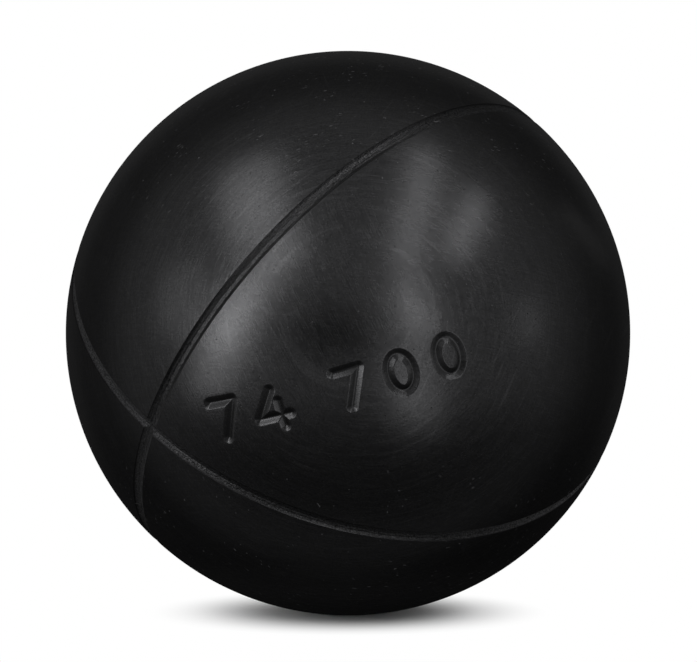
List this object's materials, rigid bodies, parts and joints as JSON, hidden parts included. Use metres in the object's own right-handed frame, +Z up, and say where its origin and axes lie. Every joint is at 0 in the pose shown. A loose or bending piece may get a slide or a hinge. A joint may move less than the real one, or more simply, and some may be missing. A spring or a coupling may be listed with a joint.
{
  "type": "petanque boule",
  "caption": "Hollow welded steel ball with crossed striping grooves and a dark satin finish, thrown by hand in petanque.",
  "frame": {"origin": "centre of the ball", "axes": "+Z up as the ball lies in the picture, -Y towards the camera, +X to the camera's right; the striping grooves cross on the axis (0.669, 0.699, 0.254), and the weld lies in the plane square to it"},
  "size_m": [0.074, 0.074, 0.074],
  "materials": {
    "steel": "polished by hand and blackened, satin",
    "weld": "turned flush, polished and blackened with the ball, satin"
  },
  "bodies": {
    "root": {"spigot_shell": "steel", "rebate_shell": "steel", "weld_bead": "weld"}
  },
  "joints": []
}
